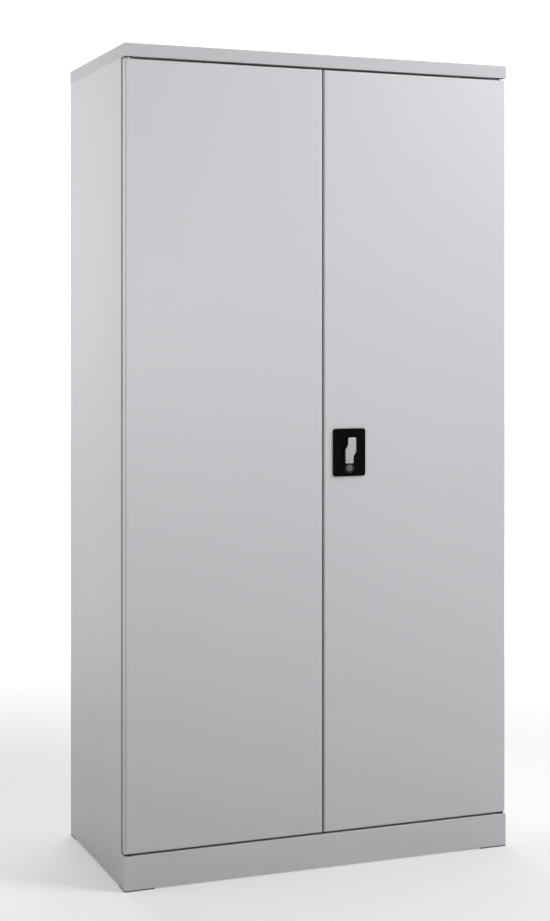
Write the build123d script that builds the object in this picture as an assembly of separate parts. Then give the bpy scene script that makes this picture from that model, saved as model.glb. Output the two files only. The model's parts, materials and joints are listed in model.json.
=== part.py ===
from build123d import *
import os
from math import cos, radians, sin

# A two-door sheet-steel storage cupboard, in millimetres.
# The origin is on the floor under the middle of the whole, from the lever to the rear screws' heads.
# +X is to the right as seen from the front, +Y goes to the back and +Z goes up.

# The cabinet as a whole
cabinet_height = 1800
cabinet_width = 915
cabinet_depth = 450
overrun = 5
running_clearance = 0.05
seat_clearance = 0.3

# Sheets and their folds, the bend radius being the outside one
cap_sheet = 1.0
case_sheet = 0.9
door_sheet = 0.9
shelf_sheet = 0.8
sheet_bend = 2.0
door_bend = 4.0

# The cap: a lip all round and a box fold along the front
cap_lip = 28
cap_upturn = 12

# The doors, their gaps and the stops behind them
door_thickness = 18
door_gap = 4
door_top_gap = 5
door_inset = 2
door_back_gap = 10
door_fold = 14
stop_height = 16

# The side panels
stile_width = 28
stile_depth = 15
rear_flange_width = 25

# The plinth and the floor pan
plinth_height = 75
plinth_return = 22
floor_flange = 22
plinth_downturn = 15

# The glides under the corners
glide_drop = 2.5
glide_length = 66
glide_width = 42
glide_boss_height = 15

# The back panels and the strip that joins them
joint_strip_width = 44
panel_screw_margin = 11
back_screw_rows = 7

# Screws: one pan-head size for the panels
screw_radius = 2.4
screw_hole_clearance = 0.1
screw_head_radius = 4.6
screw_head_height = 2.4
screw_tail = 6
rail_screw_shares = (-0.85, -0.3, 0.3, 0.85)
screw_rounding_share = 0.6

# The slotted uprights
upright_sheet = 1.2
upright_width = 26
upright_depth = 11
upright_bend = 2.2
front_upright_offset = 24
rear_upright_offset = 40
upright_top_gap = 40
slot_pitch = 50
slot_width = 12
slot_height = 4
first_slot = 40

# The shelves and their clips
shelf_slots = (6, 13, 20, 27)
shelf_edge = 26
shelf_edge_return = 14
shelf_edge_lip = 9
shelf_end_flange = 20
shelf_end_gap = 0.8
shelf_front_gap = 4
shelf_back_gap = 6
channel_width = 60
channel_depth = 16
channel_foot = 12
clip_sheet = 1.2
clip_width = 10
clip_height = 22
clip_ledge = 14
clip_tongue = 2.6
clip_tongue_reach = 4

# The door pivots
pivot_inset = 10
pivot_radius = 4
pivot_hold = 20
pivot_reach = 8
bush_radius = 6.5
bush_length = 9
bush_flange_radius = 7.8
bush_top_flange = 1.4
pivot_plate_width = 34
pivot_plate_thickness = 3

# The stiffener inside each door
hat_width = 34
hat_foot = 16
hat_depth = 13
hat_end_gap = 70

# Buffers and cup magnets in the gap behind the doors
buffer_radius = 5
buffer_from_middle = 60
cup_wall = 1.2
magnet_from_middle = 30

# The handle plate, its dish and the turn lever
handle_x = 61.5
handle_z = 923.5
plate_width = 78
plate_height = 106
plate_thickness = 4
plate_corner = 6
plate_edge = 1.2
plate_drop = 4.8
dish_radius = 33.5
dish_depth = 1.4
lever_lift = 1.6
lever_gap = 0.3
lever_thickness = 7.4
lever_half_height = 28.5
lever_hub_half = 12.8
lever_wing_inner = 6.5
lever_shoulder = 13
lever_waist = 3
lever_corner = 2.5
lever_edge = 1.5
lever_boss_radius = 11
lever_turn = 90

# The crank behind the door skin
spindle_radius = 5
spindle_neck_radius = 3
backing_thickness = 1.5
backing_margin = 5
crank_depth = 5.5
crank_thickness = 2
crank_disc_radius = 24
crank_radius = 18
crank_pin_radius = 3
crank_pin_length = 4.5
crank_screw_radius = 1.5
crank_screw_head = 5
crank_screw_head_height = 2.6
crank_screw_tail = 8
notch_half_width = 10.5
notch_depth = 6
plate_screw_radius = 1.5
plate_screw_head = 3.2
plate_screw_head_height = 2
plate_boss_radius = 4
plate_screw_bite = 3
plate_screw_x = 29
plate_screw_z = 40

# The lock rods, their guides and the grommets that they enter
rod_width = 14
rod_thickness = 3
rod_gap = 0.5
rod_end_gap = 0.5
eye_wall = 3
eye_play = 0.9
eye_side_play = 0.5
guide_wall = 4
guide_height = 12
guide_clearance = 0.4
guide_near = 240
guide_end = 60
grommet_wall = 5
grommet_thickness = 2
grommet_clearance = 0.8

# The key lock under the lever
lock_drop = 39
barrel_radius = 9
barrel_ring_radius = 11.5
barrel_ring_height = 1.1
barrel_hole_clearance = 0.15
lock_nut_radius = 12.5
lock_nut_height = 2.6
plug_radius = 7
keyway_width = 1.4
keyway_height = 8
keyway_depth = 5
cam_width = 8
cam_reach = 4
cam_thickness = 2
cam_screw_radius = 1.5
cam_screw_head = 3.4
cam_screw_head_height = 2
cam_screw_tail = 4

# Planes worked out from the values above
handle_reach = plate_thickness + lever_lift + lever_thickness
back_reach = screw_head_height - cap_sheet
front = (handle_reach - cabinet_depth - back_reach) / 2
back = front + cabinet_depth
half_width = cabinet_width / 2
side_outer = half_width - cap_sheet
side_inner = side_outer - case_sheet
stile_inner = side_outer - stile_width
panel_outer = back - cap_sheet
panel_inner = panel_outer - case_sheet
flange_inner = panel_inner - case_sheet
lip_bottom = cabinet_height - cap_lip
side_top = cabinet_height - cap_sheet - sheet_bend
door_back = front + door_thickness
case_front = door_back + door_back_gap
stile_back = case_front + stile_depth
door_top = lip_bottom - door_top_gap
door_bottom = plinth_height + door_gap
door_outer = half_width - door_inset
door_inner = door_gap / 2
door_middle = (door_outer + door_inner) / 2
skin_back = front + door_sheet
toe_front = front + case_sheet
floor_level = plinth_height + stop_height
header_bottom = lip_bottom - stop_height
stop_middle = (plinth_height + floor_level) / 2
header_middle = (header_bottom + lip_bottom) / 2
cup_radius = stop_height / 2 - sheet_bend
magnet_x = -buffer_from_middle - magnet_from_middle
upright_face = side_inner - upright_depth
front_upright_y = stile_back + front_upright_offset
rear_upright_y = flange_inner - rear_upright_offset - upright_width
shelf_half = upright_face - clip_sheet - shelf_end_gap
shelf_front = stile_back + shelf_front_gap
shelf_rear = flange_inner - shelf_back_gap
pivot_x = door_outer - pivot_inset
pivot_y = front + door_thickness / 2
pivot_plate_half = door_thickness / 2 - door_bend
plate_front = front - plate_thickness
plate_z = handle_z - plate_drop
backing_back = skin_back + backing_thickness
crank_front = front + crank_depth
crank_back = crank_front + crank_thickness
rod_front = crank_back + rod_gap
rod_back = rod_front + rod_thickness
lock_z = handle_z - lock_drop
rod_travel = 2 * crank_radius * sin(radians(lever_turn / 2))
crank_near = crank_radius * cos(radians(lever_turn / 2))
rod_offset = (crank_near + crank_radius) / 2
upper_rod_x = handle_x + rod_offset
lower_rod_x = handle_x - rod_offset
eye_half_length = (crank_radius - crank_near) / 2 + crank_pin_radius + eye_side_play
eye_half_height = crank_pin_radius + eye_play
eye_half_width = eye_half_length + eye_wall

# How a cylinder stands on its own end
ON_END = (Align.CENTER, Align.CENTER, Align.MIN)


def block(x, y, z):
    """A box between two values of each axis, given in either order."""
    low = [min(pair) for pair in (x, y, z)]
    size = [max(pair) - min(pair) for pair in (x, y, z)]
    return Pos(*low) * Box(*size, align=(Align.MIN, Align.MIN, Align.MIN))


def post(x, y, z, radius):
    """A cylinder along Z between the two values of z."""
    return Pos(x, y, min(z)) * Cylinder(radius, max(z) - min(z), align=ON_END)


def peg(x, y, z, radius):
    """A cylinder along Y between the two values of y."""
    turned = Rot(-90, 0, 0) * Cylinder(radius, max(y) - min(y), align=ON_END)
    return Pos(x, min(y), z) * turned


def folded(points, sheet, bend):
    """The section of a folded sheet whose middle line runs through the points."""
    line = FilletPolyline(*points, radius=bend - sheet / 2)
    return trace(line, line_width=sheet)


def upright_fold(points, z, sheet, bend=sheet_bend):
    """A folded sheet with its section in plan, points as (x, y), between the two values of z."""
    section = Pos(0, 0, min(z)) * folded(points, sheet, bend)
    return extrude(section, amount=max(z) - min(z), dir=(0, 0, 1))


def level_fold(points, x, sheet, bend=sheet_bend):
    """A folded sheet with its section as seen from the side, points as (y, z), between the values of x."""
    section = Plane(origin=(min(x), 0, 0), x_dir=(0, 1, 0), z_dir=(1, 0, 0)) * folded(points, sheet, bend)
    return extrude(section, amount=max(x) - min(x), dir=(1, 0, 0))


def edges_on(solid, axis, value):
    """The edges that lie in the plane where the axis has this value."""
    return solid.edges().filter_by_position(axis, value, value)


def save(name, solids):
    """Writes one node, as a group where it is several solids."""
    pieces = solids if isinstance(solids, list) else [solids]
    found = [solid for piece in pieces for solid in piece.solids()]
    shape = found[0] if len(found) == 1 else Compound(children=found)
    export_step(shape, f"parts/{name}.step")


def screw(place, axis, sizes=(screw_tail, screw_radius, screw_head_radius, screw_head_height)):
    """A pan-head screw whose head's seat is at the place, with its shank along the axis."""
    tail, radius, head, height = sizes
    shank = Cylinder(radius, tail, align=ON_END)
    cap = Cylinder(head, height, align=(Align.CENTER, Align.CENTER, Align.MAX))
    cap = fillet(edges_on(cap, Axis.Z, -height), height * screw_rounding_share)
    placed = Plane(origin=place, z_dir=axis)
    return placed * (shank + cap)


# Screws of the back panels, as (x, z) places
def back_screw_places():
    rows = [floor_level - floor_flange / 2]
    step = (lip_bottom - panel_screw_margin - rows[0]) / (back_screw_rows - 1)
    rows += [rows[0] + step * row for row in range(1, back_screw_rows)]
    edge = side_outer - panel_screw_margin
    return [(x, z) for z in rows for x in (-edge, -panel_screw_margin, panel_screw_margin, edge)]


def back_screw_holes():
    radius = screw_radius + screw_hole_clearance
    span = (flange_inner - case_sheet - overrun, panel_outer + overrun)
    return [peg(x, span, z, radius) for x, z in back_screw_places()]


def back_panel_screws():
    return [screw((x, panel_outer, z), (0, -1, 0)) for x, z in back_screw_places()]


# Screws that hold the header rail to the cap's box fold, and the floor pan to the plinth
def header_screw_places():
    middle = (case_front + stile_back) / 2
    return [(share * stile_inner, middle) for share in rail_screw_shares]


def header_screws():
    return [screw((x, y, lip_bottom - case_sheet), (0, 0, 1)) for x, y in header_screw_places()]


def header_screw_holes():
    radius = screw_radius + screw_hole_clearance
    span = (lip_bottom - overrun, lip_bottom + overrun)
    return [post(x, y, span, radius) for x, y in header_screw_places()]


def base_screw_places():
    drop = floor_level - (plinth_downturn + case_sheet) / 2
    return [(share * stile_inner, drop) for share in rail_screw_shares]


def base_screws():
    return [screw((x, stile_back + case_sheet, z), (0, -1, 0)) for x, z in base_screw_places()]


def base_screw_holes():
    radius = screw_radius + screw_hole_clearance
    span = (stile_back - overrun, stile_back + overrun)
    return [peg(x, span, z, radius) for x, z in base_screw_places()]


# Holes that the lock rods enter, in the cap's box fold and in the plinth's ledge
def rod_hole(x, z):
    half = rod_width / 2 + grommet_clearance
    span = (rod_front - grommet_clearance, rod_back + grommet_clearance)
    return block((x - half, x + half), span, z)


def top_cap():
    """A pan with its mouth down, whose front edge folds back under itself into a box."""
    shell = block((-half_width, half_width), (front, back), (lip_bottom, cabinet_height))
    shell = fillet(edges_on(shell, Axis.Z, cabinet_height), sheet_bend)
    top = cabinet_height - cap_sheet
    hollow_y = (front + cap_sheet, back - cap_sheet)
    hollow = block((-side_outer, side_outer), hollow_y, (lip_bottom - overrun, top))
    hollow = fillet(edges_on(hollow, Axis.Z, top), sheet_bend - cap_sheet)
    level = lip_bottom + cap_sheet / 2
    rear = stile_back - cap_sheet / 2
    fold = [(front + cap_sheet, level), (rear, level), (rear, lip_bottom + cap_upturn)]
    cap = shell - hollow + level_fold(fold, (-side_inner, side_inner), cap_sheet)
    span = (lip_bottom - overrun, lip_bottom + overrun)
    cuts = [post(side * pivot_x, pivot_y, span, bush_radius + running_clearance) for side in (-1, 1)]
    cuts += header_screw_holes()
    cuts.append(rod_hole(upper_rod_x, span))
    return cap - cuts


def side_panel(side):
    """A side sheet with its stile fold, its rear flange and a toe that runs forward under the door."""
    half = case_sheet / 2
    outer = side * (side_outer - half)
    inner = side * (stile_inner + half)
    rear = panel_inner - half
    rear_end = side * (side_outer - rear_flange_width)
    front_line = case_front + half
    flange = [(outer, rear), (rear_end, rear)]
    stile = [(inner, stile_back), (inner, front_line), (outer, front_line)] + flange
    upper = [(outer, stile_back)] + flange
    lower = [(outer, toe_front)] + flange
    panel = upright_fold(stile, (plinth_height, lip_bottom), case_sheet)
    panel += upright_fold(upper, (lip_bottom, side_top), case_sheet)
    panel += upright_fold(lower, (glide_drop, plinth_height), case_sheet)
    return panel - back_screw_holes()


def back_panel(side):
    """Half of the back, from the floor edge to just under the cap."""
    panel = block((0, side * side_outer), (panel_inner, panel_outer), (glide_drop, side_top))
    return panel - back_screw_holes()


def back_joint_strip():
    """The flat strip inside that both back panels are screwed to."""
    half = joint_strip_width / 2
    strip = block((-half, half), (flange_inner, panel_inner), (floor_level - floor_flange, side_top))
    return strip - back_screw_holes()


def plinth():
    """The front toe board, its ledge under the doors, and the stop that they close against."""
    half = case_sheet / 2
    face = front + half
    ledge = plinth_height - half
    stop = case_front + half
    top = floor_level - half
    rear = stile_back - half
    drop = floor_level - plinth_downturn
    full = [(face, glide_drop), (face, ledge), (stop, ledge), (stop, top), (rear, top), (rear, drop)]
    short = [(face, glide_drop), (face, ledge), (stile_back, ledge)]
    board = level_fold(full, (-stile_inner, stile_inner), case_sheet)
    board += level_fold(short, (-side_inner, side_inner), case_sheet)
    board += block((-side_outer, side_outer), (front, toe_front), (glide_drop, plinth_height - sheet_bend))
    for side in (-1, 1):
        end = (side * side_inner, side * (side_inner - case_sheet))
        board += block(end, (front, front + plinth_return), (glide_drop, plinth_height - sheet_bend))
    span = (plinth_height - overrun, plinth_height + overrun)
    cuts = [post(side * pivot_x, pivot_y, span, bush_radius + running_clearance) for side in (-1, 1)]
    cuts += base_screw_holes()
    cuts.append(rod_hole(lower_rod_x, span))
    return board - cuts


def floor_pan():
    """The cabinet's floor, a tray with its flanges turned down."""
    low = floor_level - floor_flange
    top = floor_level - case_sheet
    tray = block((-side_inner, side_inner), (stile_back, flange_inner), (low, floor_level))
    tray = fillet(tray.edges().filter_by(Axis.Z), sheet_bend)
    inner_x = (case_sheet - side_inner, side_inner - case_sheet)
    inner_y = (stile_back + case_sheet, flange_inner - case_sheet)
    hollow = block(inner_x, inner_y, (low - overrun, top))
    tray -= fillet(hollow.edges().filter_by(Axis.Z), sheet_bend - case_sheet)
    return tray - base_screw_holes() - back_screw_holes()


def header_rail():
    """An angle hung from the cap's box fold, which stops the doors at the top."""
    half = case_sheet / 2
    face = case_front + half
    top = lip_bottom - half
    low = header_bottom + half
    path = [(stile_back, top), (face, top), (face, low), (stile_back, low)]
    return level_fold(path, (-stile_inner, stile_inner), case_sheet) - header_screw_holes()


def upright(side, near):
    """A slotted channel with its legs against the side panel."""
    half = upright_sheet / 2
    wall = side * side_inner
    web = side * (upright_face + half)
    y0, y1 = near + half, near + upright_width - half
    top = header_bottom - upright_top_gap
    path = [(wall, y0), (web, y0), (web, y1), (wall, y1)]
    channel = upright_fold(path, (floor_level, top), upright_sheet, upright_bend)
    middle = near + upright_width / 2
    span = (side * (upright_face - overrun), side * (upright_face + upright_sheet + overrun))
    count = int((top - floor_level - 2 * first_slot) / slot_pitch) + 1
    slots = []
    for row in range(count):
        z = floor_level + first_slot + row * slot_pitch
        wide = (middle - slot_width / 2, middle + slot_width / 2)
        slots.append(block(span, wide, (z, z + slot_height)))
    return channel - slots


def ledge_level(slot):
    """The height of the clips' ledges that hook into this slot of the uprights."""
    return floor_level + first_slot + slot * slot_pitch - clip_height / 2


def shelf(slot):
    """A tray with its mouth down, its front and rear edges folded into box edges."""
    half = shelf_sheet / 2
    top = ledge_level(slot) + shelf_end_flange
    low = top - shelf_edge
    lip = low + shelf_edge_lip
    front_line, rear_line = shelf_front + half, shelf_rear - half
    front_in, rear_in = front_line + shelf_edge_return, rear_line - shelf_edge_return
    path = [(front_in, lip), (front_in, low + half), (front_line, low + half), (front_line, top - half)]
    path += [(rear_line, top - half), (rear_line, low + half), (rear_in, low + half), (rear_in, lip)]
    tray = level_fold(path, (-shelf_half, shelf_half), shelf_sheet)
    for side in (-1, 1):
        end = (side * shelf_half, side * (shelf_half - shelf_sheet))
        tray += block(end, (front_in + half, rear_in - half), (top - shelf_end_flange, top))
    return tray


def shelf_channel(slot):
    """The hat channel under the middle of a shelf, from box edge to box edge."""
    half = shelf_sheet / 2
    top = ledge_level(slot) + shelf_end_flange - shelf_sheet - half
    low = top - channel_depth
    middle = (shelf_front + shelf_rear) / 2
    near, far = middle - channel_width / 2, middle + channel_width / 2
    path = [(near - channel_foot, top), (near, top), (near, low)]
    path += [(far, low), (far, top), (far + channel_foot, top)]
    reach = shelf_half - shelf_sheet
    return level_fold(path, (-reach, reach), shelf_sheet)


def shelf_clips():
    """Four clips to a shelf: a plate, a tongue through the upright's slot and a ledge for the shelf."""
    clips = []
    for slot in shelf_slots:
        tongue = floor_level + first_slot + slot * slot_pitch
        ledge = ledge_level(slot)
        for side in (-1, 1):
            for near in (front_upright_y, rear_upright_y):
                middle = near + upright_width / 2
                wide = (middle - clip_width / 2, middle + clip_width / 2)
                plate_x = (side * (upright_face - clip_sheet), side * upright_face)
                ledge_x = (side * (upright_face - clip_ledge), side * upright_face)
                tongue_x = (plate_x[0], side * (upright_face + clip_tongue_reach))
                clip = block(plate_x, wide, (ledge - clip_sheet, ledge - clip_sheet + clip_height))
                clip += block(ledge_x, wide, (ledge - clip_sheet, ledge))
                clip += block(tongue_x, wide, (tongue, tongue + clip_tongue))
                clips.append(clip)
    return clips


def floor_glides():
    """A moulded glide under each corner: a pad flush with the outside and a boss between the sheets."""
    glides = []
    for side in (-1, 1):
        pad_x = (side * side_outer, side * (side_outer - glide_length))
        boss_x = (side * (side_inner - sheet_bend), side * (side_outer - glide_length))
        front_pad = block(pad_x, (front, front + glide_width), (0, glide_drop))
        boss_z = (glide_drop, glide_boss_height)
        front_boss = block(boss_x, (toe_front, front + glide_width), boss_z)
        rear_pad = block(pad_x, (panel_outer - glide_width, panel_outer), (0, glide_drop))
        rear_boss = block(boss_x, (panel_outer - glide_width, flange_inner), boss_z)
        glides += [front_pad + front_boss, rear_pad + rear_boss]
    return glides


def bushes(seat, up, flange):
    """A flanged bush for each door's pin, its flange on the door's side of the sheet."""
    pair = []
    for side in (-1, 1):
        sleeve = post(side * pivot_x, pivot_y, (seat, seat + up * bush_length), bush_radius)
        collar = post(side * pivot_x, pivot_y, (seat, seat - up * flange), bush_flange_radius)
        reach = (seat - up * overrun, seat + up * (bush_length + overrun))
        bore = post(side * pivot_x, pivot_y, reach, pivot_radius + running_clearance)
        pair.append(sleeve + collar - bore)
    return pair


def door_buffers():
    """Rubber buffers on the stop and on the header, short of the doors' backs by a seat clearance."""
    span = (door_back + seat_clearance, case_front)
    places = []
    for z in (stop_middle, header_middle):
        places += [(side * buffer_from_middle, z) for side in (-1, 1)]
        places += [(side * door_middle, z) for side in (-1, 1)]
    return [peg(x, span, z, buffer_radius) for x, z in places]


def magnet_cups():
    """Two shallow steel cups on the stop and on the header, behind the left door's fold."""
    span = (door_back + seat_clearance, case_front)
    inside = (front, case_front - cup_wall)
    cups = []
    for z in (stop_middle, header_middle):
        cups.append(peg(magnet_x, span, z, cup_radius) - peg(magnet_x, inside, z, cup_radius - cup_wall))
    return cups


def door_magnets():
    """The ferrite discs in the cups."""
    span = (door_back + seat_clearance, case_front - cup_wall)
    radius = cup_radius - cup_wall - running_clearance
    return [peg(magnet_x, span, z, radius) for z in (stop_middle, header_middle)]


def rod_grommets():
    """Slotted plates where the rods go through the cap's fold and the plinth's ledge."""
    half_x = rod_width / 2 + grommet_clearance + grommet_wall
    margin = grommet_clearance + grommet_wall / 2
    span_y = (rod_front - margin, rod_back + margin)
    top = (lip_bottom + cap_sheet, lip_bottom + cap_sheet + grommet_thickness)
    low = (plinth_height - case_sheet - grommet_thickness, plinth_height - case_sheet)
    plates = []
    for x, z in ((upper_rod_x, top), (lower_rod_x, low)):
        plate = block((x - half_x, x + half_x), span_y, z)
        plates.append(plate - rod_hole(x, (z[0] - overrun, z[1] + overrun)))
    return plates


def door_skin(side):
    """A pan with its edges folded back and in, so that the back is a frame round an open middle."""
    x = (side * door_inner, side * door_outer)
    z = (door_bottom, door_top)
    shell = block(x, (front, door_back), z)
    shell = fillet(edges_on(shell, Axis.Y, front), door_bend)
    in_x = (side * (door_inner + door_sheet), side * (door_outer - door_sheet))
    in_z = (door_bottom + door_sheet, door_top - door_sheet)
    hollow = block(in_x, (skin_back, door_back - door_sheet), in_z)
    hollow = fillet(edges_on(hollow, Axis.Y, skin_back), door_bend - door_sheet)
    mouth_x = (side * (door_inner + door_fold), side * (door_outer - door_fold))
    mouth_z = (door_bottom + door_fold, door_top - door_fold)
    mouth = block(mouth_x, (pivot_y, door_back + overrun), mouth_z)
    skin = shell - hollow - mouth
    pin_x = side * pivot_x
    radius = pivot_radius + running_clearance
    skin -= post(pin_x, pivot_y, (door_top - door_sheet - overrun, door_top + overrun), radius)
    skin -= post(pin_x, pivot_y, (door_bottom - overrun, door_bottom + door_sheet + overrun), radius)
    return skin


def right_door_skin():
    """The right skin, with its holes for the handle, the lock and the rods."""
    through = (front - overrun, skin_back + overrun)
    cuts = [peg(handle_x, through, handle_z, spindle_radius + barrel_hole_clearance)]
    cuts.append(peg(handle_x, through, lock_z, barrel_radius + barrel_hole_clearance))
    boss = plate_boss_radius + screw_hole_clearance
    cuts += [peg(x, through, z, boss) for x, z in plate_screw_places()]
    cuts.append(rod_hole(upper_rod_x, (door_top - door_sheet - overrun, door_top + overrun)))
    cuts.append(rod_hole(lower_rod_x, (door_bottom - overrun, door_bottom + door_sheet + overrun)))
    return door_skin(1) - cuts


def door_stiffener(side):
    """A hat section down the middle of a door, welded to its skin."""
    half = door_sheet / 2
    foot = skin_back + half
    crown = skin_back + hat_depth - half
    middle = side * door_middle
    near, far = middle - hat_width / 2, middle + hat_width / 2
    path = [(near - hat_foot, foot), (near, foot), (near, crown)]
    path += [(far, crown), (far, foot), (far + hat_foot, foot)]
    return upright_fold(path, (door_bottom + hat_end_gap, door_top - hat_end_gap), door_sheet)


def pivot_plates(side):
    """The plates inside a door's top and bottom folds that hold its pins."""
    inward = side * (door_outer - door_sheet)
    x = (inward, inward - side * pivot_plate_width)
    y = (pivot_y - pivot_plate_half, pivot_y + pivot_plate_half)
    plates = []
    for seat, up in ((door_top - door_sheet, -1), (door_bottom + door_sheet, 1)):
        plate = block(x, y, (seat, seat + up * pivot_plate_thickness))
        span = (seat - up * overrun, seat + up * (pivot_plate_thickness + overrun))
        plates.append(plate - post(side * pivot_x, pivot_y, span, pivot_radius))
    return plates


def pivot_pins(side):
    """The top and bottom pins of a door, from inside its fold to inside the bush."""
    x = side * pivot_x
    top = post(x, pivot_y, (door_top - pivot_hold, lip_bottom + pivot_reach), pivot_radius)
    low = post(x, pivot_y, (door_bottom + pivot_hold, plinth_height - pivot_reach), pivot_radius)
    return [top, low]


def plate_screw_places():
    high = (handle_x - plate_screw_x, plate_z + plate_screw_z)
    return [high, (handle_x + plate_screw_x, plate_z - plate_screw_z)]


def handle_plate():
    """A black moulded plate with a shallow round dish under the lever, and two bosses into the skin."""
    sheet = Plane.XZ * RectangleRounded(plate_width, plate_height, plate_corner)
    plate = Pos(handle_x, front, plate_z) * extrude(sheet, amount=plate_thickness)
    plate = fillet(edges_on(plate, Axis.Y, plate_front), plate_edge)
    plate -= peg(handle_x, (plate_front - overrun, plate_front + dish_depth), handle_z, dish_radius)
    plate += peg(handle_x, (plate_front, front), lock_z, barrel_ring_radius + plate_edge)
    for x, z in plate_screw_places():
        plate += peg(x, (front, skin_back), z, plate_boss_radius)
        bore = (skin_back - plate_screw_bite - screw_hole_clearance, skin_back + overrun)
        plate -= peg(x, bore, z, plate_screw_radius + screw_hole_clearance)
    through = (plate_front - overrun, front + overrun)
    plate -= peg(handle_x, through, handle_z, spindle_radius + running_clearance)
    plate -= peg(handle_x, through, lock_z, barrel_radius + barrel_hole_clearance)
    return plate


def backing_plate():
    """The steel plate behind the skin that the handle plate is screwed to."""
    half_x, half_z = plate_width / 2 - backing_margin, plate_height / 2 - backing_margin
    span = (skin_back, backing_back)
    plate = block((handle_x - half_x, handle_x + half_x), span, (plate_z - half_z, plate_z + half_z))
    through = (skin_back - overrun, backing_back + overrun)
    plate -= peg(handle_x, through, handle_z, spindle_radius + barrel_hole_clearance)
    plate -= peg(handle_x, through, lock_z, barrel_radius + barrel_hole_clearance)
    radius = plate_screw_radius + screw_hole_clearance
    return plate - [peg(x, through, z, radius) for x, z in plate_screw_places()]


def plate_screws():
    tail = backing_thickness + plate_screw_bite
    sizes = (tail, plate_screw_radius, plate_screw_head, plate_screw_head_height)
    return [screw((x, backing_back, z), (0, -1, 0), sizes) for x, z in plate_screw_places()]


def turn_lever():
    """A stepped lever, the same turned half round: a wing up to the right and a wing down to the left."""
    half = [
        (lever_hub_half, lever_half_height),
        (lever_hub_half, -lever_waist),
        (lever_wing_inner, -lever_shoulder),
        (lever_wing_inner, -lever_half_height),
    ]
    outline = half + [(-x, -z) for x, z in half]
    face = make_face(FilletPolyline(*outline, radius=lever_corner, close=True))
    seat = plate_front - lever_lift
    blank = Pos(handle_x, seat, handle_z) * extrude(Plane.XZ * face, amount=lever_thickness)
    lever = fillet(edges_on(blank, Axis.Y, seat - lever_thickness), lever_edge)
    lever += peg(handle_x, (seat, plate_front - lever_gap), handle_z, lever_boss_radius)
    return lever


def lever_spindle():
    """The shaft from the lever through the door, with a neck that carries the crank disc."""
    shaft = peg(handle_x, (plate_front - lever_gap, crank_front), handle_z, spindle_radius)
    shaft += peg(handle_x, (crank_front, crank_back), handle_z, spindle_neck_radius)
    bore = (crank_back - crank_screw_tail - screw_hole_clearance, crank_back + overrun)
    return shaft - peg(handle_x, bore, handle_z, crank_screw_radius + screw_hole_clearance)


def pin_places():
    """The two crank pins at rest, the right one low and the left one high."""
    turn = radians(lever_turn / 2)
    x, z = crank_radius * cos(turn), crank_radius * sin(turn)
    return [(handle_x + x, handle_z - z), (handle_x - x, handle_z + z)]


def crank_disc():
    """The disc on the spindle, with a notch for the lock's cam at either end of the turn."""
    span = (crank_front, crank_back)
    disc = peg(handle_x, span, handle_z, crank_disc_radius)
    inner, outer = crank_disc_radius - notch_depth, crank_disc_radius + overrun
    wide = (handle_x - notch_half_width, handle_x + notch_half_width)
    tall = (handle_z - notch_half_width, handle_z + notch_half_width)
    reach = (crank_front - overrun, crank_back + overrun)
    disc -= block(wide, reach, (handle_z - inner, handle_z - outer))
    disc -= block((handle_x - inner, handle_x - outer), reach, tall)
    return disc - peg(handle_x, reach, handle_z, spindle_neck_radius + running_clearance)


def crank_pins():
    span = (crank_back, crank_back + crank_pin_length)
    return [peg(x, span, z, crank_pin_radius) for x, z in pin_places()]


def crank_screw():
    sizes = (crank_screw_tail, crank_screw_radius, crank_screw_head, crank_screw_head_height)
    return screw((handle_x, crank_back, handle_z), (0, -1, 0), sizes)


def lock_rod(x, pin, end):
    """A flat rod with a slotted eye round its crank pin, ending just inside the door's fold."""
    up = 1 if end > pin[1] else -1
    span = (rod_front, rod_back)
    rod = block((x - rod_width / 2, x + rod_width / 2), span, (pin[1], end))
    reach = eye_half_height + eye_wall
    wide = (x - eye_half_width, x + eye_half_width)
    rod += block(wide, span, (pin[1] - up * reach, pin[1] + up * reach))
    through = (rod_front - overrun, rod_back + overrun)
    eye_z = (pin[1] - eye_half_height, pin[1] + eye_half_height)
    return rod - block((x - eye_half_length, x + eye_half_length), through, eye_z)


def rod_guides():
    """Bridges on the door's skin that the rods slide through."""
    wide = rod_width / 2 + guide_clearance + guide_wall
    slot = rod_width / 2 + guide_clearance
    hole = (rod_front - guide_clearance, rod_back + guide_clearance)
    guides = []
    for x, end, up in ((upper_rod_x, door_top, 1), (lower_rod_x, door_bottom, -1)):
        for z in (handle_z + up * guide_near, end - up * guide_end):
            tall = (z - guide_height / 2, z + guide_height / 2)
            guide = block((x - wide, x + wide), (skin_back, hole[1] + guide_wall / 2), tall)
            through = (tall[0] - overrun, tall[1] + overrun)
            guides.append(guide - block((x - slot, x + slot), hole, through))
    return guides


def lock_barrel():
    """The lock's body with its ring on the plate's face."""
    ring_front = plate_front - barrel_ring_height
    rear = backing_back + lock_nut_height
    barrel = peg(handle_x, (plate_front, rear), lock_z, barrel_radius)
    ring = peg(handle_x, (ring_front, plate_front), lock_z, barrel_ring_radius)
    ring = fillet(edges_on(ring, Axis.Y, ring_front), barrel_ring_height / 2)
    bore = (ring_front - overrun, rear + overrun)
    return barrel + ring - peg(handle_x, bore, lock_z, plug_radius + running_clearance)


def lock_nut():
    """The flat six-sided nut behind the backing plate."""
    blank = Rot(-90, 0, 0) * extrude(RegularPolygon(lock_nut_radius, 6), amount=lock_nut_height)
    bore = (backing_back - overrun, backing_back + lock_nut_height + overrun)
    hole = peg(handle_x, bore, lock_z, barrel_radius + running_clearance)
    return Pos(handle_x, backing_back, lock_z) * blank - hole


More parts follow.
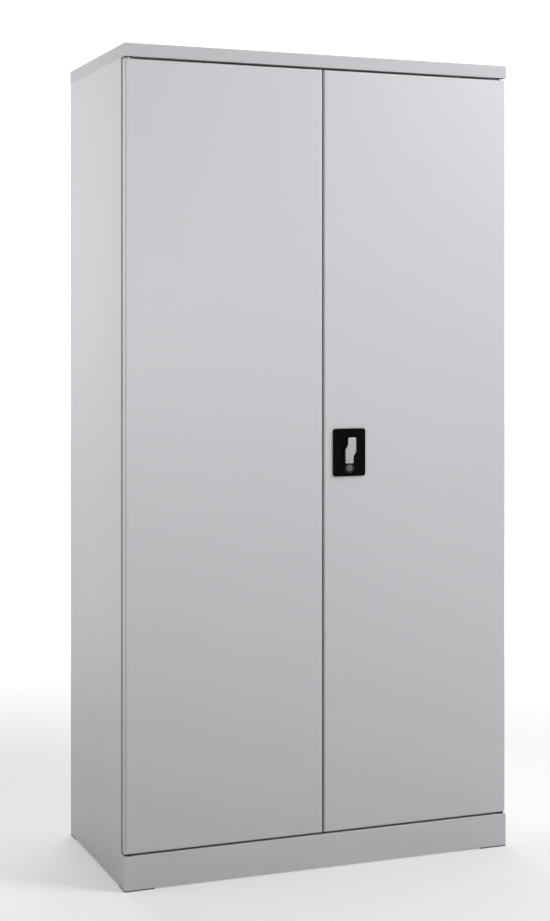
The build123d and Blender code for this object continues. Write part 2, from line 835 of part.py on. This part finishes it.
def lock_plug():
    """The turning plug with its keyway."""
    face = plate_front - barrel_ring_height
    plug = peg(handle_x, (face, crank_front), lock_z, plug_radius)
    half_w, half_h = keyway_width / 2, keyway_height / 2
    key_x = (handle_x - half_w, handle_x + half_w)
    plug -= block(key_x, (face - overrun, face + keyway_depth), (lock_z - half_h, lock_z + half_h))
    bore = (crank_front - cam_screw_tail, crank_front + overrun)
    return plug - peg(handle_x, bore, lock_z, cam_screw_radius + screw_hole_clearance)


def lock_cam():
    """A flat arm behind the plug, lying to the left at rest, which turns up into the disc's notch."""
    span = (crank_front, crank_front + cam_thickness)
    reach = lock_drop - crank_disc_radius + cam_reach
    half = cam_width / 2
    cam = block((handle_x, handle_x - reach), span, (lock_z - half, lock_z + half))
    cam += peg(handle_x, span, lock_z, half + eye_wall)
    bore = (span[0] - overrun, span[1] + overrun)
    return cam - peg(handle_x, bore, lock_z, cam_screw_radius + screw_hole_clearance)


def cam_screw():
    tail = cam_thickness + cam_screw_tail - screw_hole_clearance
    sizes = (tail, cam_screw_radius, cam_screw_head, cam_screw_head_height)
    return screw((handle_x, crank_front + cam_thickness, lock_z), (0, -1, 0), sizes)


def build():
    """Every node of the cabinet by name."""
    right_pin, left_pin = pin_places()
    nodes = {
        "top_cap": top_cap(),
        "left_side_panel": side_panel(-1),
        "right_side_panel": side_panel(1),
        "left_back_panel": back_panel(-1),
        "right_back_panel": back_panel(1),
        "back_joint_strip": back_joint_strip(),
        "back_panel_screws": back_panel_screws(),
        "plinth": plinth(),
        "floor_pan": floor_pan(),
        "base_screws": base_screws(),
        "header_rail": header_rail(),
        "header_screws": header_screws(),
        "front_left_upright": upright(-1, front_upright_y),
        "front_right_upright": upright(1, front_upright_y),
        "rear_left_upright": upright(-1, rear_upright_y),
        "rear_right_upright": upright(1, rear_upright_y),
        "shelf_clips": shelf_clips(),
        "floor_glides": floor_glides(),
        "top_pivot_bushes": bushes(lip_bottom, 1, bush_top_flange),
        "bottom_pivot_bushes": bushes(plinth_height, -1, door_gap - seat_clearance),
        "door_buffers": door_buffers(),
        "magnet_cups": magnet_cups(),
        "door_magnets": door_magnets(),
        "rod_grommets": rod_grommets(),
        "left_door_skin": door_skin(-1),
        "left_door_stiffener": door_stiffener(-1),
        "left_pivot_plates": pivot_plates(-1),
        "left_pivot_pins": pivot_pins(-1),
        "right_door_skin": right_door_skin(),
        "right_door_stiffener": door_stiffener(1),
        "right_pivot_plates": pivot_plates(1),
        "right_pivot_pins": pivot_pins(1),
        "handle_plate": handle_plate(),
        "handle_backing_plate": backing_plate(),
        "handle_plate_screws": plate_screws(),
        "rod_guides": rod_guides(),
        "lock_barrel": lock_barrel(),
        "lock_nut": lock_nut(),
        "turn_lever": turn_lever(),
        "lever_spindle": lever_spindle(),
        "crank_disc": crank_disc(),
        "crank_pins": crank_pins(),
        "crank_screw": crank_screw(),
        "lock_plug": lock_plug(),
        "lock_cam": lock_cam(),
        "cam_screw": cam_screw(),
        "upper_lock_rod": lock_rod(upper_rod_x, right_pin, door_top - rod_end_gap),
        "lower_lock_rod": lock_rod(lower_rod_x, left_pin, door_bottom + rod_end_gap),
    }
    for number, slot in enumerate(shelf_slots, start=1):
        nodes[f"shelf_{number}"] = shelf(slot)
        nodes[f"shelf_channel_{number}"] = shelf_channel(slot)
    return nodes


os.makedirs("parts", exist_ok=True)
for name, solids in build().items():
    save(name, solids)
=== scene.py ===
import json
from math import cos, radians, sin

import bmesh
import bpy
import numpy as np
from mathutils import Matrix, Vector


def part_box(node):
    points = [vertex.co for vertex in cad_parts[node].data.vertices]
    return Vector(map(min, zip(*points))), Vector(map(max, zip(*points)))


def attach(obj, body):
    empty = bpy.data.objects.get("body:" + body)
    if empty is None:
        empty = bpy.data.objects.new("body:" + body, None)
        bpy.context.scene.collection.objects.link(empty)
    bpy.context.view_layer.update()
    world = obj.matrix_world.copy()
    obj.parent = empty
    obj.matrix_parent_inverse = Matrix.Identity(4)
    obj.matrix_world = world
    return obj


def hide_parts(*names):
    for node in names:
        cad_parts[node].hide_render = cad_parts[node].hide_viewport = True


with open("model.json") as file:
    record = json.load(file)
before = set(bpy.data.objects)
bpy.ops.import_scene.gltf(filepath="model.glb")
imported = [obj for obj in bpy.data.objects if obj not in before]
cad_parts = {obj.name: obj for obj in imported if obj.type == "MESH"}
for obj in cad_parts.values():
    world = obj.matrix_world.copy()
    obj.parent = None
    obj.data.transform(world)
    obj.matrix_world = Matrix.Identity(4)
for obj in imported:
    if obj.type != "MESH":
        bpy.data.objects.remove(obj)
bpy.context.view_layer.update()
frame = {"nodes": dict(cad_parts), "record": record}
nodes = frame["nodes"]


# Material helpers


class Paint:
    """A material's node tree with short calls for its nodes. Scales are in features to a metre,
    depths in metres."""

    def __init__(self, name):
        self.material = bpy.data.materials.new(name)
        self.material.use_nodes = True
        self.tree = self.material.node_tree
        self.shader = self.tree.nodes["Principled BSDF"]
        self.place = self.tree.nodes.new("ShaderNodeTexCoord").outputs["Object"]
        self.normal = None

    def set(self, **values):
        for key, value in values.items():
            self.shader.inputs[key.replace("_", " ")].default_value = value

    def link(self, source, name):
        self.tree.links.new(source, self.shader.inputs[name])

    def stretched(self, scale):
        """The place on the piece, drawn out along an axis where its scale is small."""
        node = self.tree.nodes.new("ShaderNodeMapping")
        node.inputs["Scale"].default_value = scale
        self.tree.links.new(self.place, node.inputs["Vector"])
        return node.outputs["Vector"]

    def noise(self, scale, detail, place=None):
        node = self.tree.nodes.new("ShaderNodeTexNoise")
        node.inputs["Scale"].default_value = scale
        node.inputs["Detail"].default_value = detail
        self.tree.links.new(place or self.place, node.inputs["Vector"])
        return node.outputs["Fac"]

    def cells(self, scale, output):
        node = self.tree.nodes.new("ShaderNodeTexVoronoi")
        node.inputs["Scale"].default_value = scale
        self.tree.links.new(self.place, node.inputs["Vector"])
        return node.outputs[output]

    def ramp(self, source, dark, light, start=0.3, end=0.7):
        """The value as a colour, dark up to the start and light from the end."""
        node = self.tree.nodes.new("ShaderNodeValToRGB")
        for mark, at, colour in zip(node.color_ramp.elements, (start, end), (dark, light)):
            mark.position = at
            mark.color = (*colour, 1)
        self.tree.links.new(source, node.inputs["Fac"])
        return node.outputs["Color"]

    def spread(self, source, low, high, start=0.0, end=1.0):
        """The value carried from between start and end to between low and high."""
        node = self.tree.nodes.new("ShaderNodeMapRange")
        node.inputs["From Min"].default_value = start
        node.inputs["From Max"].default_value = end
        node.inputs["To Min"].default_value = low
        node.inputs["To Max"].default_value = high
        self.tree.links.new(source, node.inputs["Value"])
        return node.outputs["Result"]

    def bump(self, height, depth, strength):
        """A layer of height on top of the layers before it."""
        node = self.tree.nodes.new("ShaderNodeBump")
        node.inputs["Distance"].default_value = depth
        node.inputs["Strength"].default_value = strength
        self.tree.links.new(height, node.inputs["Height"])
        if self.normal is not None:
            self.tree.links.new(self.normal, node.inputs["Normal"])
        self.normal = node.outputs["Normal"]
        self.link(self.normal, "Normal")


def grey(value):
    return (value, value, value)


# Finishes

COAT_DARK = (0.497, 0.500, 0.520)
COAT_LIGHT = (0.514, 0.517, 0.537)
ZINC_DARK = (0.560, 0.558, 0.548)
ZINC_LIGHT = (0.680, 0.678, 0.668)
CLOUD_LIFT = 1.35
ROUGHNESS_SWING = 0.06


def powder_coat(name, share=1.0, gloss=1.0):
    """Light grey powder coat: orange peel a millimetre or two across, over sheet that is a little uneven.

    The share scales its colour, and the gloss its shine."""
    paint = Paint(name)
    paint.set(Coat_Weight=0.12 * gloss, Coat_Roughness=0.22, Specular_IOR_Level=0.45 * gloss)
    dark, light = (tuple(share * part for part in tone) for tone in (COAT_DARK, COAT_LIGHT))
    paint.link(paint.ramp(paint.noise(scale=1.7, detail=3), dark, light), "Base Color")
    paint.link(paint.spread(paint.noise(scale=260, detail=2), low=0.36, high=0.47), "Roughness")
    uneven_sheet = paint.noise(scale=2.2, detail=1)
    orange_peel = paint.noise(scale=620, detail=2)
    paint.bump(uneven_sheet, depth=0.002, strength=0.25)
    paint.bump(orange_peel, depth=0.00012, strength=0.3)
    return paint.material


def zinc_plate():
    """Bright zinc with soft spangle and faint rubbing marks."""
    paint = Paint("zinc_plate")
    paint.set(Metallic=1.0)
    spangle = paint.cells(scale=90, output="Color")
    paint.link(paint.ramp(spangle, ZINC_DARK, ZINC_LIGHT, start=0.2, end=0.8), "Base Color")
    paint.link(paint.spread(paint.noise(scale=150, detail=3), low=0.26, high=0.46), "Roughness")
    rubbed = paint.noise(scale=900, detail=2, place=paint.stretched((1, 1, 0.1)))
    paint.bump(rubbed, depth=0.00005, strength=0.3)
    return paint.material


def moulding(name, tone, roughness, grain, shine=0.3):
    """A moulded plastic or rubber: cloudy tone, uneven roughness and a fine spark-eroded grain."""
    paint = Paint(name)
    paint.set(Specular_IOR_Level=shine)
    clouds = paint.noise(scale=60, detail=3)
    paint.link(paint.ramp(clouds, grey(tone), grey(tone * CLOUD_LIFT)), "Base Color")
    uneven = paint.noise(scale=300, detail=2)
    low, high = roughness - ROUGHNESS_SWING, roughness + ROUGHNESS_SWING
    paint.link(paint.spread(uneven, low, high), "Roughness")
    paint.bump(paint.cells(grain, output="Distance"), depth=0.00006, strength=0.35)
    return paint.material


def plated_casting(name, dark, light, roughness):
    """A plated die casting with faint polishing lines along its length."""
    paint = Paint(name)
    paint.set(Metallic=1.0)
    paint.link(paint.ramp(paint.noise(scale=80, detail=3), grey(dark), grey(light)), "Base Color")
    lengthways = paint.stretched((1, 1, 0.06))
    streaks = paint.noise(scale=1400, detail=2, place=lengthways)
    paint.link(paint.spread(streaks, low=roughness - 0.03, high=roughness + 0.04), "Roughness")
    lines = paint.noise(scale=1800, detail=2, place=lengthways)
    paint.bump(lines, depth=0.00002, strength=0.12)
    return paint.material


def ground_ferrite():
    """Dark sintered magnet, ground flat, with a fine open grain."""
    paint = Paint("ground_ferrite")
    paint.set(Specular_IOR_Level=0.5)
    paint.link(paint.ramp(paint.noise(scale=400, detail=4), grey(0.03), grey(0.055)), "Base Color")
    paint.link(paint.spread(paint.noise(scale=900, detail=2), low=0.45, high=0.65), "Roughness")
    paint.bump(paint.noise(scale=2200, detail=3), depth=0.00006, strength=0.4)
    return paint.material


finishes = {
    "painted_steel": powder_coat("powder_coat"),
    "zinc_steel": zinc_plate(),
    "black_plastic": moulding("black_plastic", tone=0.002, roughness=0.36, grain=2600, shine=0.04),
    "satin_chrome": plated_casting("satin_chrome", dark=0.47, light=0.53, roughness=0.42),
    "black_chrome": plated_casting("black_chrome", dark=0.030, light=0.040, roughness=0.30),
    "nylon": moulding("nylon", tone=0.02, roughness=0.42, grain=1800),
    "buffer_rubber": moulding("buffer_rubber", tone=0.018, roughness=0.75, grain=1500),
    "glide_plastic": moulding("glide_plastic", tone=0.05, roughness=0.5, grain=1800),
    "ferrite": ground_ferrite(),
}

# The cap's coat is painted a little darker than the rest as painted shade, and is duller; the plug is painted
# dark as painted shade of its recess and keyway
painted_shade_finishes = {
    "top_cap": powder_coat("cap_coat_painted_shade", share=0.89, gloss=0.3),
    "lock_plug": plated_casting("plug_painted_shade", dark=0.15, light=0.20, roughness=0.38),
}

for row in frame["record"]["subparts"]:
    mesh = nodes[row["node"]].data
    mesh.materials.clear()
    mesh.materials.append(painted_shade_finishes.get(row["node"]) or finishes[row["material_slot"]])


# Surfaces worked out on grids, in metres

MM = 0.001
MERGE_WITHIN = 1e-7
NO_LENGTH = 1e-8
SHARP_EDGE = radians(35)


def quads(rows, columns, closed=True):
    """The four corners of each cell of a grid, whose last column joins the first where it is closed."""
    row, column = np.mgrid[0 : rows - 1, 0 : columns if closed else columns - 1]
    after = (column + 1) % columns
    here, below = row * columns, (row + 1) * columns
    return np.stack([here + column, here + after, below + after, below + column], -1).reshape(-1, 4)


def turned(radius, height, sides):
    """A profile turned round Z: the point is (radius cos angle, radius sin angle, height).

    The radius and height have a row for each profile point, and may have a column for each angle."""
    angle = np.linspace(0, 2 * np.pi, sides, endpoint=False)
    radius = np.broadcast_to(radius, (len(radius), sides))
    height = np.broadcast_to(height, (len(height), sides))
    points = np.stack([radius * np.cos(angle), radius * np.sin(angle), height], -1)
    return points.reshape(-1, 3), quads(len(radius), sides)


def joined(*shells):
    """Several (points, faces) as one."""
    starts = np.cumsum([0] + [len(points) for points, _ in shells[:-1]])
    faces = [faces + start for (_, faces), start in zip(shells, starts)]
    return np.concatenate([points for points, _ in shells]), np.concatenate(faces)


def repeated(shell, places):
    """The shell once at each place."""
    points, faces = shell
    places = np.asarray(places, float)
    count = np.arange(len(places))[:, None, None]
    return (points[None] + places[:, None]).reshape(-1, 3), (faces[None] + count * len(points)).reshape(-1, 4)


def facing(shell, axis):
    """The shell with its Z turned to the axis "+Y", "-Y" or "-Z"."""
    points, faces = shell
    x, y, z = points.T
    turned_points = {"+Y": (x, z, -y), "-Y": (x, -z, y), "-Z": (x, -y, -z)}[axis]
    return np.stack(turned_points, -1), faces


def piece(name, shell, body, slot, stands_for):
    """A closed mesh of the shell, its poles merged and its faces outwards, that rides on the body."""
    points, faces = shell
    mesh = bpy.data.meshes.new(name)
    mesh.from_pydata(points.tolist(), [], faces.tolist())
    work = bmesh.new()
    work.from_mesh(mesh)
    bmesh.ops.remove_doubles(work, verts=work.verts, dist=MERGE_WITHIN)
    bmesh.ops.dissolve_degenerate(work, edges=work.edges, dist=NO_LENGTH)
    bmesh.ops.recalc_face_normals(work, faces=work.faces)
    work.to_mesh(mesh)
    work.free()
    mesh.shade_smooth()
    mesh.set_sharp_from_angle(angle=SHARP_EDGE)
    mesh.materials.append(finishes[slot])
    thing = bpy.data.objects.new(name, mesh)
    bpy.context.scene.collection.objects.link(thing)
    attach(thing, body)
    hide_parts(stands_for)


# Pan-head screws with a rolled thread and a cross recess. Sizes with no MM are shares of the screw's own

THREAD_PITCH = 1.0 * MM
THREAD_DEPTH = 0.3 * MM
THREAD_STEPS = 5
SCREW_SIDES = 28
TIP_TAPER = 0.25
HEAD_ROUNDING = 0.6
RECESS_REACH = 0.58
RECESS_WIDTH = 0.13
RECESS_DEPTH = 0.5
RECESS_WALL = 0.3
RECESS_END = 0.4
HEAD_STEPS = 7
FACE_STEPS = 10


def pan_screw(radius, head, height, tail):
    """A screw turned round Z with its head's seat at zero and its head above.

    The shank's radius falls by the thread's depth times a triangle wave of length over pitch plus angle
    over a whole turn, which is a helix, and the tip tapers over its last pitch. The head's side is
    upright and then a quarter circle. Its face sinks where the point lies in either of two crossed bars,
    less towards their sides and ends."""
    angle = np.linspace(0, 1, SCREW_SIDES, endpoint=False)[None]
    along = np.linspace(-tail, 0, int(tail / THREAD_PITCH * THREAD_STEPS) + 1)[:, None]
    wave = np.abs((along / THREAD_PITCH + angle) % 1 * 2 - 1)
    ends = np.clip(np.minimum(along + tail, -along) / THREAD_PITCH, 0, 1)
    near_tip = 1 - np.clip((along + tail) / THREAD_PITCH, 0, 1)
    shank = radius - THREAD_DEPTH * wave * ends - TIP_TAPER * radius * near_tip
    bend = np.linspace(0, np.pi / 2, HEAD_STEPS)[:, None]
    round_off = HEAD_ROUNDING * height
    side_r = head - round_off * (1 - np.cos(bend))
    side_z = height - round_off * (1 - np.sin(bend))
    face = np.linspace(1, 0, FACE_STEPS)[1:, None]
    face_r = (head - round_off) * face
    face_z = height + 0 * face
    rim_r = np.full((1, 1), head)
    rim_z = np.zeros((1, 1))
    r = np.concatenate([0 * shank[:1], shank, rim_r + 0 * angle, side_r + 0 * angle, face_r + 0 * angle])
    z = np.concatenate([along[:1], along, rim_z, side_z, face_z]) + 0 * angle
    x, y = r * np.cos(2 * np.pi * angle), r * np.sin(2 * np.pi * angle)
    reach, wide, deep = RECESS_REACH * head, RECESS_WIDTH * head, RECESS_DEPTH * height

    def bar(across, along_it):
        side = np.clip((wide - abs(across)) / (RECESS_WALL * wide), 0, 1)
        end = np.clip((reach - abs(along_it)) / (RECESS_END * reach), 0, 1)
        return side * end

    sunk = np.maximum(bar(x, y), bar(y, x))
    on_face = np.arange(len(r))[:, None] >= len(r) - len(face)
    return turned(r, z - deep * sunk * on_face, SCREW_SIDES)


def screws(name, node, body, axis, sizes, places):
    """One screw at each place, its seat there and its head towards the axis."""
    shell = repeated(facing(pan_screw(*(MM * size for size in sizes)), axis), places)
    piece(name, shell, body, "zinc_steel", node)


# Each screw is (shank radius, head radius, head height, length under the head), in millimetres
PANEL_SCREW = (2.4, 4.6, 2.4, 6.0)
PLATE_SCREW = (1.5, 3.2, 2.0, 4.5)
DISC_SCREW = (1.5, 5.0, 2.6, 8.0)
ARM_SCREW = (1.5, 3.4, 2.0, 5.9)
BACK_SCREW_ROWS = 7
BACK_SCREW_FROM_MIDDLE = 11 * MM
RAIL_SCREW_SHARES = (-1, -0.3 / 0.85, 0.3 / 0.85, 1)

_, head, height, _ = (MM * size for size in PANEL_SCREW)

low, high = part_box("back_panel_screws")
edge = high[0] - head
columns = (-edge, -BACK_SCREW_FROM_MIDDLE, BACK_SCREW_FROM_MIDDLE, edge)
rows = np.linspace(low[2] + head, high[2] - head, BACK_SCREW_ROWS)
back_places = [(x, high[1] - height, z) for z in rows for x in columns]
screws("back_screws", "back_panel_screws", "case", "+Y", PANEL_SCREW, back_places)

# The pan's screws are spaced across the case as the rail's are
low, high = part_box("header_screws")
edge = high[0] - head
columns = [share * edge for share in RAIL_SCREW_SHARES]
middle = (low[1] + high[1]) / 2
header_places = [(x, middle, low[2] + height) for x in columns]
screws("rail_screws", "header_screws", "case", "-Z", PANEL_SCREW, header_places)

low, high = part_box("base_screws")
middle = (low[2] + high[2]) / 2
base_places = [(x, high[1] - height, middle) for x in columns]
screws("pan_screws", "base_screws", "case", "+Y", PANEL_SCREW, base_places)

low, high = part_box("handle_plate_screws")
_, head, height, _ = (MM * size for size in PLATE_SCREW)
seat = high[1] - height
plate_places = [(low[0] + head, seat, high[2] - head), (high[0] - head, seat, low[2] + head)]
screws("plate_screws", "handle_plate_screws", "right_door", "+Y", PLATE_SCREW, plate_places)

for name, node, body, sizes in (
    ("disc_screw", "crank_screw", "lever", DISC_SCREW),
    ("arm_screw", "cam_screw", "lock", ARM_SCREW),
):
    low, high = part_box(node)
    _, _, height, _ = sizes
    place = ((low[0] + high[0]) / 2, high[1] - height * MM, (low[2] + high[2]) / 2)
    screws(name, node, body, "+Y", sizes, [place])


# Domed rubber buffers

BUFFER_RADIUS = 5 * MM
BUFFER_FROM_MIDDLE = 60 * MM
WAIST_SHARE = 0.9
DOME_START_SHARE = 0.46
DOME_STEPS = 9
BUFFER_SIDES = 32


def domed_buffer(radius, height):
    """A buffer turned round Z: a foot, a shallow waist, and a dome that is a quarter ellipse."""
    bend = np.linspace(0, np.pi / 2, DOME_STEPS)[:, None]
    foot_r = radius * np.array([[0], [0.97], [1.0], [1.0], [WAIST_SHARE], [WAIST_SHARE]])
    foot_z = height * np.array([[0], [0], [0.05], [0.3], [0.38], [DOME_START_SHARE]])
    dome_r = WAIST_SHARE * radius * np.cos(bend)
    dome_z = height * (DOME_START_SHARE + (1 - DOME_START_SHARE) * np.sin(bend))
    return turned(np.concatenate([foot_r, dome_r]), np.concatenate([foot_z, dome_z]), BUFFER_SIDES)


low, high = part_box("door_buffers")
edge = high[0] - BUFFER_RADIUS
columns = (-edge, -BUFFER_FROM_MIDDLE, BUFFER_FROM_MIDDLE, edge)
rows = (low[2] + BUFFER_RADIUS, high[2] - BUFFER_RADIUS)
buffer_places = [(x, high[1], z) for z in rows for x in columns]
buffer_shell = facing(domed_buffer(BUFFER_RADIUS, high[1] - low[1]), "-Y")
piece("domed_buffers", repeated(buffer_shell, buffer_places), "case", "buffer_rubber", "door_buffers")


# The turn lever, sizes in millimetres

LEVER_CORNER = 2.5
LEVER_WING = 6.5
LEVER_WAIST = 3.0
LEVER_SHOULDER = 13.0
LEVER_LIFT = 1.3
LEVER_EDGE = 2.0
LEVER_CROWN = 0.9
LEVER_HOLLOW = 0.5
LEVER_HOLLOW_REACH = 13.0
LEVER_BOSS = 11.0
LEVER_BOSS_LAP = 0.4
LEVER_ROWS = 121
LEVER_COLUMNS = 41
ARC_POINTS = 13
BOSS_SIDES = 64
LEAST_SPAN = 1e-9


def rounded_side(corners, radius):
    """The corners joined by straight lines, each corner rounded by an arc that touches both of its lines.

    The arc's points are the corner's centre plus the radius at evenly spaced angles between the two
    lines' normals."""
    corners = np.asarray(corners, float)
    before, here, after = corners[:-2], corners[1:-1], corners[2:]
    way_in = (here - before) / np.linalg.norm(here - before, axis=1)[:, None]
    way_out = (after - here) / np.linalg.norm(after - here, axis=1)[:, None]
    half_turn = np.arccos(np.clip((way_in * way_out).sum(1), -1, 1))[:, None] / 2
    towards = way_out - way_in
    towards /= np.linalg.norm(towards, axis=1)[:, None]
    centre = here + towards * radius / np.cos(half_turn)
    share = np.linspace(-1, 1, ARC_POINTS)[None, :, None]
    spread = share * half_turn[:, None]
    along = (way_in + way_out)[:, None] / np.linalg.norm(way_in + way_out, axis=1)[:, None, None]
    arc = centre[:, None] + radius * (-towards[:, None] * np.cos(spread) + along * np.sin(spread))
    return np.concatenate([corners[:1], arc.reshape(-1, 2), corners[-1:]])


def depth_inside(x, z, outline):
    """How far each point is from the nearest line of the closed outline."""
    end = np.roll(outline, -1, axis=0)
    span = end - outline
    offset = np.stack([x, z], -1)[..., None, :] - outline
    reach = np.clip((offset * span).sum(-1) / np.maximum((span**2).sum(-1), LEAST_SPAN), 0, 1)
    return np.linalg.norm(offset - reach[..., None] * span, axis=-1).min(-1)


def lever_casting(half_width, half_height, thickness):
    """The lever round its own axis, +Z up and the face towards -Y.

    Each height has a left and a right end on the outline, which is the same turned half round. Between
    them the face stands at the thickness, less a crown that grows with the square of the distance from
    the middle of the width, less a shallow hollow at the hub, both fading out at the edge, less the drop
    of a rounded edge: the edge radius minus the root of its square less the square of what is missing to
    it in distance from the outline. The back is flat, the walls join their rims, and a round boss stands
    behind."""
    middle_of_top = (half_width - LEVER_WING) / 2
    side = [
        (middle_of_top, half_height),
        (half_width, half_height),
        (half_width, -LEVER_WAIST),
        (LEVER_WING, -LEVER_SHOULDER),
        (LEVER_WING, -half_height),
        (-middle_of_top, -half_height),
    ]
    right = rounded_side(side, LEVER_CORNER)
    left = -right[::-1]
    height = half_height * np.sin(np.linspace(-np.pi / 2, np.pi / 2, LEVER_ROWS))
    right_x = np.interp(height, right[::-1, 1], right[::-1, 0])
    left_x = np.interp(height, left[::-1, 1], left[::-1, 0])
    share = (1 - np.cos(np.linspace(0, np.pi, LEVER_COLUMNS))) / 2
    x = left_x[:, None] + (right_x - left_x)[:, None] * share
    z = np.broadcast_to(height[:, None], x.shape)
    gap = depth_inside(x, z, np.concatenate([right, -right]))
    drop = LEVER_EDGE - np.sqrt(LEVER_EDGE**2 - np.clip(LEVER_EDGE - gap, 0, LEVER_EDGE) ** 2)
    across = (2 * share - 1)[None]
    hollow = LEVER_HOLLOW * np.exp(-((z / LEVER_HOLLOW_REACH) ** 2)) * (1 - across**2)
    sunk = LEVER_CROWN * across**2 + hollow
    face = thickness - sunk * np.clip(gap / LEVER_EDGE, 0, 1) - drop
    rim_front = np.stack([x, -face, z], -1)
    rim_back = np.stack([x, np.full_like(x, -LEVER_LIFT), z], -1)
    sheet = quads(*x.shape, closed=False)
    shells = [(rim_front.reshape(-1, 3), sheet), (rim_back.reshape(-1, 3), sheet)]
    for border in ((slice(None), 0), (slice(None), -1), (0, slice(None)), (-1, slice(None))):
        strip = np.stack([rim_front[border], rim_back[border]])
        shells.append((strip.reshape(-1, 3), quads(2, strip.shape[1], closed=False)))
    boss_r = LEVER_BOSS * np.array([[0], [1], [1], [0]])
    boss_z = (LEVER_LIFT + LEVER_BOSS_LAP) * np.array([[0], [0], [1], [1]])
    shells.append(facing(turned(boss_r, boss_z, BOSS_SIDES), "-Y"))
    points, faces = joined(*shells)
    return MM * points, faces


low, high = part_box("turn_lever")
axis_at_back = np.array([(low[0] + high[0]) / 2, high[1], (low[2] + high[2]) / 2])
width, thickness, height = ((end - start) / MM for start, end in zip(low, high))
points, faces = lever_casting(width / 2, height / 2, thickness)
piece("lever_casting", (points + axis_at_back, faces), "lever", "satin_chrome", "turn_lever")


# The floor, the light and the camera. Sizes are in metres, powers in watts, lens and sensor in millimetres

WHITE = (1, 1, 1, 1)
FLOOR_REACH = 14.0
FLOOR_DARK = 0.50
FLOOR_LIGHT = 0.52
NEAR_GLOW = 0.33
FAR_GLOW = 0.9
GLOW_RISES_FROM = 1.0
GLOW_RISES_TO = 3.6
ROOM = 0.10
BACKDROP = 1.10
BACKDROP_STARTS = 0.35
BACKDROP_FULL = 0.85
HEADING = radians(21.3)
CAMERA_PLACE = (-1.4855, -3.7347, 1.193)
LENS_LENGTH = 67.39
SENSOR_WIDTH = 36.0
LENS_SHIFT = -0.1427
VIEW_REACH = 100


def pale_floor():
    """A wide pale floor, faintly mottled, that runs out into the white of the backdrop."""
    reach = FLOOR_REACH
    corners = [(-reach, -reach, 0), (reach, -reach, 0), (reach, reach, 0), (-reach, reach, 0)]
    mesh = bpy.data.meshes.new("floor")
    mesh.from_pydata(corners, [], [(0, 1, 2, 3)])
    floor = bpy.data.objects.new("floor", mesh)
    bpy.context.scene.collection.objects.link(floor)
    paint = Paint("floor")
    paint.set(Roughness=0.9, Specular_IOR_Level=0.0, Emission_Color=WHITE)
    mottle = paint.noise(scale=0.8, detail=2)
    paint.link(paint.ramp(mottle, grey(FLOOR_DARK), grey(FLOOR_LIGHT)), "Base Color")
    away = paint.tree.nodes.new("ShaderNodeVectorMath")
    away.operation = "LENGTH"
    paint.tree.links.new(paint.place, away.inputs[0])
    glow = paint.spread(away.outputs["Value"], NEAR_GLOW, FAR_GLOW, GLOW_RISES_FROM, GLOW_RISES_TO)
    glow.node.interpolation_type = "SMOOTHSTEP"
    paint.link(glow, "Emission Strength")
    mesh.materials.append(paint.material)


def panel_light(name, place, target, size, power):
    """A square soft light that faces its target."""
    data = bpy.data.lights.new(name, "AREA")
    data.shape, data.size, data.energy = "SQUARE", size, power
    lamp = bpy.data.objects.new(name, data)
    bpy.context.scene.collection.objects.link(lamp)
    lamp.location = place
    lamp.visible_camera = False
    aim = Vector(target) - Vector(place)
    lamp.rotation_euler = aim.to_track_quat("-Z", "Y").to_euler()


def surroundings():
    """A room that gives little light, with a bright backdrop behind the cabinet, and that looks white."""
    world = bpy.data.worlds.new("surroundings")
    world.use_nodes = True
    tree = world.node_tree
    heading = tree.nodes.new("ShaderNodeTexCoord")
    toward = tree.nodes.new("ShaderNodeVectorMath")
    toward.operation = "DOT_PRODUCT"
    toward.inputs[1].default_value = (sin(HEADING), cos(HEADING), 0)
    tree.links.new(heading.outputs["Generated"], toward.inputs[0])
    strength = tree.nodes.new("ShaderNodeMapRange")
    strength.interpolation_type = "SMOOTHSTEP"
    strength.inputs["From Min"].default_value = BACKDROP_STARTS
    strength.inputs["From Max"].default_value = BACKDROP_FULL
    strength.inputs["To Min"].default_value = ROOM
    strength.inputs["To Max"].default_value = BACKDROP
    tree.links.new(toward.outputs["Value"], strength.inputs["Value"])
    looked_at = tree.nodes.new("ShaderNodeLightPath").outputs["Is Camera Ray"]
    shown = tree.nodes.new("ShaderNodeMath")
    shown.operation = "MAXIMUM"
    tree.links.new(strength.outputs["Result"], shown.inputs[0])
    tree.links.new(looked_at, shown.inputs[1])
    tree.links.new(shown.outputs["Value"], tree.nodes["Background"].inputs["Strength"])
    tree.nodes["Background"].inputs["Color"].default_value = WHITE
    bpy.context.scene.world = world


def photograph_camera():
    """A level camera at the photograph's place, angle and framing."""
    data = bpy.data.cameras.new("camera")
    data.sensor_width, data.lens = SENSOR_WIDTH, LENS_LENGTH
    data.shift_y = LENS_SHIFT
    data.clip_end = VIEW_REACH
    camera = bpy.data.objects.new("camera", data)
    bpy.context.scene.collection.objects.link(camera)
    camera.location = CAMERA_PLACE
    camera.rotation_euler = (radians(90), 0, -HEADING)
    bpy.context.scene.camera = camera


# Each light is (name, place, what it faces, side length, power)
STUDIO_LIGHTS = (
    ("high_back", (0.0, 2.10, 4.94), (0, 0, 1.3), 2.0, 104),
    ("high_back_right", (2.07, 1.74, 4.52), (0, 0, 1.3), 2.0, 18),
    ("high_right", (2.07, -1.74, 4.52), (0, 0, 1.3), 2.0, 72),
    ("right", (3.64, 0.0, 3.40), (0, 0, 1.3), 2.0, 17),
    ("front_right", (2.2, -2.0, 2.6), (0.2, -0.2, 1.4), 1.0, 48),
    ("near_front", (-0.3, -1.5, 1.3), (-0.1, -0.2, 1.3), 0.7, 4.2),
    ("left", (-1.5, 0.3, 1.5), (-0.45, 0.1, 1.4), 0.8, 8.5),
)

pale_floor()
surroundings()
for light in STUDIO_LIGHTS:
    panel_light(*light)
photograph_camera()
bpy.context.scene.view_settings.view_transform = "Standard"
